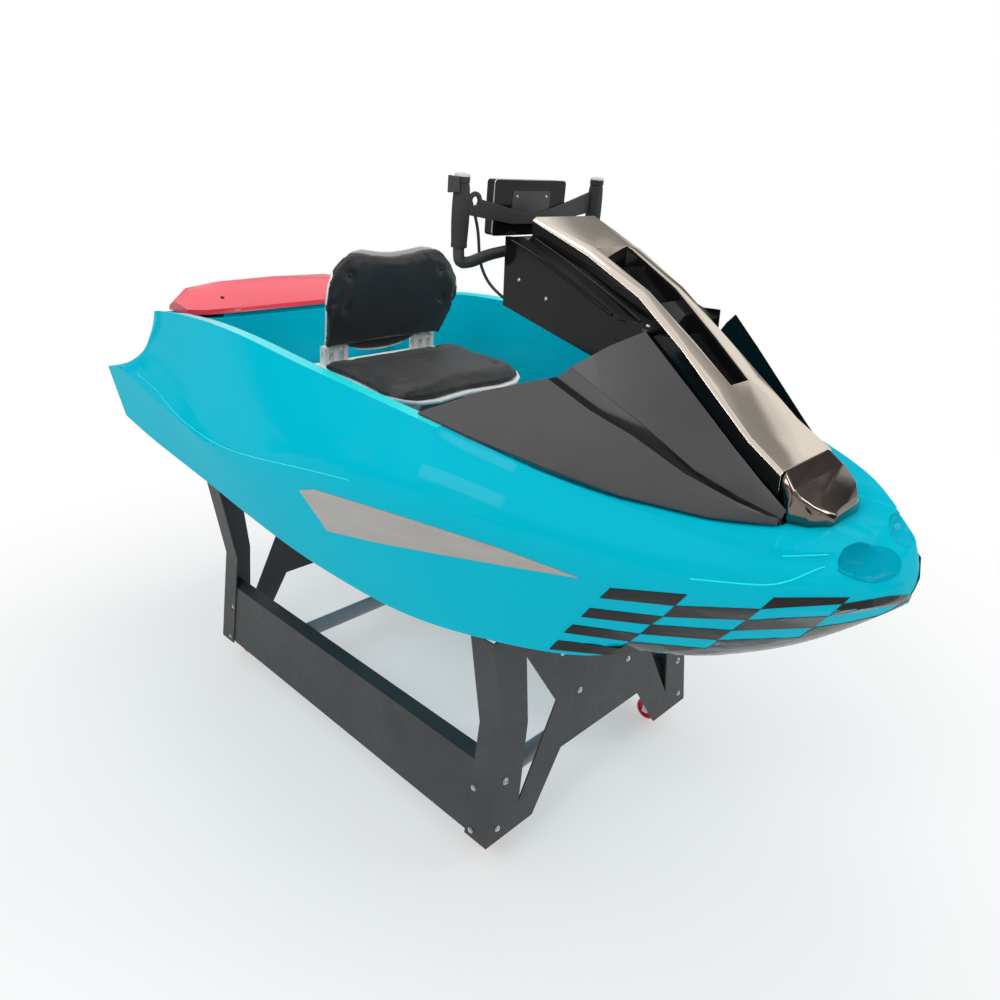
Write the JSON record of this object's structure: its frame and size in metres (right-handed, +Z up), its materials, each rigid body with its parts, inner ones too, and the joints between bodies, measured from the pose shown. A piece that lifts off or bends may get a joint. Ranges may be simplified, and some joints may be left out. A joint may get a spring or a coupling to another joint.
{
  "type": "personal watercraft on a display trolley",
  "caption": "Single-seat open jet boat with a folding seat, yoke steering and a jet drive, standing on a steel display trolley with swivel castors.",
  "frame": {"origin": "on the floor, at the middle of the craft's length and width", "axes": "+X towards the bow, +Y to port, +Z up"},
  "size_m": [2.37, 1.2, 1.539],
  "materials": {
    "teal_gelcoat": "gloss gelcoat",
    "red_gelcoat": "gloss gelcoat",
    "slate_panel": "satin moulding",
    "gloss_black": "high gloss",
    "champagne_mirror": "polished, warm tinted",
    "dark_mirror": "polished, dark tinted",
    "white_liner": "white gelcoat",
    "seat_shell": "moulded white",
    "seat_padding": "stitched vinyl over foam",
    "steel": "brushed",
    "engine_alloy": "cast",
    "powder_coat": "black powder coat",
    "tube_grey": "grey paint",
    "grip_rubber": "moulded",
    "cable_rubber": "sheathed",
    "wheel_red": "polyurethane tread"
  },
  "bodies": {
    "craft": {"hull_shell": "teal_gelcoat", "deck": "teal_gelcoat", "engine_box": "white_liner", "engine": "engine_alloy", "seat_mount": "steel", "seat_pan": "seat_shell", "seat_pad": "seat_padding", "seat_hinges": "seat_shell", "foredeck_panels": "slate_panel", "foredeck_fins": "slate_panel", "foredeck_channels": "gloss_black", "nose_spine": "champagne_mirror", "nose_cap": "dark_mirror", "console_sides": "gloss_black", "console_rear": "gloss_black", "console_brackets": "gloss_black", "steering_column": "steel", "jet_duct": "engine_alloy", "intake_grate": "engine_alloy", "trolley_front_frame": "powder_coat", "trolley_rear_frame": "powder_coat", "trolley_boards": "powder_coat", "trolley_cross_tubes": "tube_grey"},
    "hatch": {"stern_hatch": "red_gelcoat"},
    "backrest": {"backrest_shell": "seat_shell", "backrest_pad": "seat_padding"},
    "steering": {"handlebar": "powder_coat", "grips": "grip_rubber", "cross_plate": "powder_coat", "display": "gloss_black", "throttle_lever": "powder_coat", "throttle_cable": "cable_rubber"},
    "nozzle": {"steering_nozzle": "engine_alloy"},
    "impeller_shaft": {"drive_shaft": "steel", "impeller": "steel"},
    "fork_front_starboard": {"castor_front_starboard": "steel"},
    "castor_wheel_front_starboard": {"wheel_front_starboard": "wheel_red"},
    "fork_front_port": {"castor_front_port": "steel"},
    "castor_wheel_front_port": {"wheel_front_port": "wheel_red"},
    "fork_rear_starboard": {"castor_rear_starboard": "steel"},
    "castor_wheel_rear_starboard": {"wheel_rear_starboard": "wheel_red"},
    "fork_rear_port": {"castor_rear_port": "steel"},
    "castor_wheel_rear_port": {"wheel_rear_port": "wheel_red"}
  },
  "joints": [
    {"name": "hatch_hinge", "type": "hinge", "parent": "craft", "child": "hatch", "pos_m": [-1.057, 0, 1.145], "axis": [0, -1, 0], "range_deg": [0, 75]},
    {"name": "backrest_fold", "type": "hinge", "parent": "craft", "child": "backrest", "pos_m": [-0.365, 0, 1.084], "axis": [0, 1, 0], "range_deg": [-34, 55]},
    {"name": "steering_turn", "type": "hinge", "parent": "craft", "child": "steering", "pos_m": [0.288, 0, 1.385], "axis": [-0.9962, 0, 0.0872], "range_deg": [-35, 35]},
    {"name": "nozzle_turn", "type": "hinge", "parent": "craft", "child": "nozzle", "pos_m": [-1.11, 0, 0.745], "axis": [0, 0, 1], "range_deg": [-21, 21]},
    {"name": "impeller_spin", "type": "hinge", "parent": "craft", "child": "impeller_shaft", "pos_m": [-1, 0, 0.745], "axis": [1, 0, 0], "continuous": true},
    {"name": "swivel_front_starboard", "type": "hinge", "parent": "craft", "child": "fork_front_starboard", "pos_m": [0.475, -0.352, 0.085], "axis": [0, 0, 1], "continuous": true},
    {"name": "roll_front_starboard", "type": "hinge", "parent": "fork_front_starboard", "child": "castor_wheel_front_starboard", "pos_m": [0.455, -0.352, 0.034], "axis": [0, 1, 0], "continuous": true},
    {"name": "swivel_front_port", "type": "hinge", "parent": "craft", "child": "fork_front_port", "pos_m": [0.475, 0.352, 0.085], "axis": [0, 0, 1], "continuous": true},
    {"name": "roll_front_port", "type": "hinge", "parent": "fork_front_port", "child": "castor_wheel_front_port", "pos_m": [0.455, 0.352, 0.034], "axis": [0, 1, 0], "continuous": true},
    {"name": "swivel_rear_starboard", "type": "hinge", "parent": "craft", "child": "fork_rear_starboard", "pos_m": [-0.705, -0.352, 0.085], "axis": [0, 0, 1], "continuous": true},
    {"name": "roll_rear_starboard", "type": "hinge", "parent": "fork_rear_starboard", "child": "castor_wheel_rear_starboard", "pos_m": [-0.725, -0.352, 0.034], "axis": [0, 1, 0], "continuous": true},
    {"name": "swivel_rear_port", "type": "hinge", "parent": "craft", "child": "fork_rear_port", "pos_m": [-0.705, 0.352, 0.085], "axis": [0, 0, 1], "continuous": true},
    {"name": "roll_rear_port", "type": "hinge", "parent": "fork_rear_port", "child": "castor_wheel_rear_port", "pos_m": [-0.725, 0.352, 0.034], "axis": [0, 1, 0], "continuous": true}
  ],
  "couplings": [
    {"joint": "nozzle_turn", "follows": "steering_turn", "ratio": -0.6}
  ]
}
